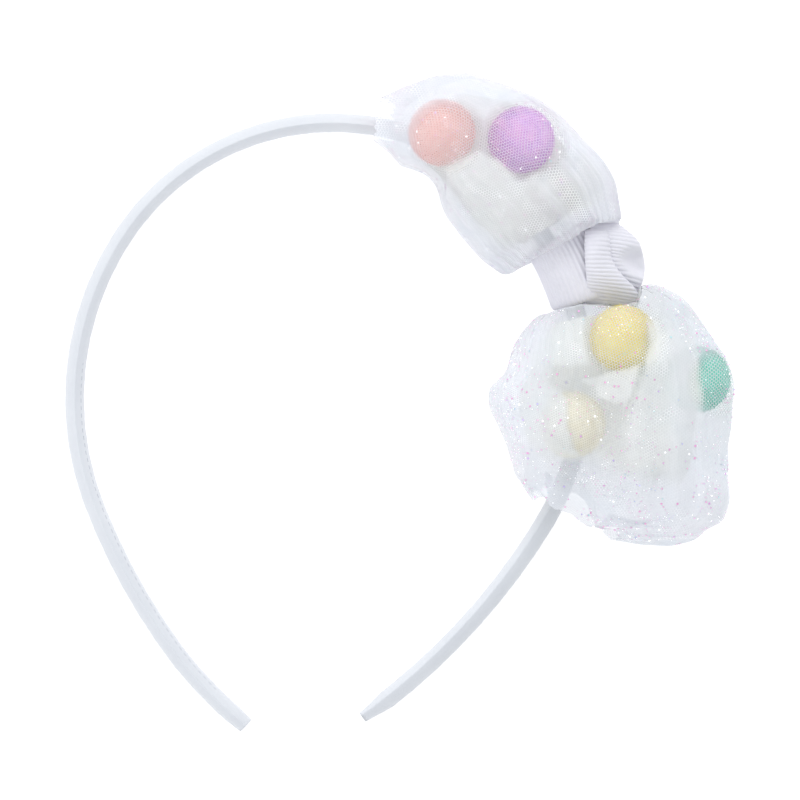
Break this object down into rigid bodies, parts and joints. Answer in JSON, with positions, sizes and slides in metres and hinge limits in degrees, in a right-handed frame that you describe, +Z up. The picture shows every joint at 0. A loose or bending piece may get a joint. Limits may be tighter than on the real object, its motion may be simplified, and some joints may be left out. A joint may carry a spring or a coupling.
{
  "type": "bow headband",
  "caption": "White satin horseshoe headband lying on its side, with a glitter tulle bow full of pastel pompoms tied on with a ribbon knot.",
  "frame": {"origin": "middle of the footprint, on the surface the headband lies on", "axes": "+Z up from the surface, square to the loop; +Y from the open tips to the crown; +X to the side with the bow"},
  "size_m": [0.1546, 0.155, 0.032],
  "materials": {
    "satin": "white satin ribbon with a soft sheen",
    "grosgrain": "white grosgrain, fine ribs across the ribbon",
    "glitter_tulle": "fine white net with iridescent glitter",
    "milky_tulle": "soft plain white net, milky in layers",
    "pompom_peach": "soft peach felt pile",
    "pompom_lilac": "soft lilac felt pile",
    "pompom_yellow": "soft yellow felt pile",
    "pompom_cream": "soft cream felt pile",
    "pompom_mint": "soft mint felt pile"
  },
  "bodies": {
    "root": {"headband": "satin", "ribbon_wrap": "grosgrain", "ribbon_knot": "grosgrain", "tulle_lobe_upper": "glitter_tulle", "tulle_lobe_lower": "glitter_tulle", "inner_tulle_upper": "milky_tulle", "inner_tulle_lower": "milky_tulle", "pompom_peach": "pompom_peach", "pompom_lilac": "pompom_lilac", "pompom_yellow": "pompom_yellow", "pompom_cream": "pompom_cream", "pompom_mint": "pompom_mint"}
  },
  "joints": []
}
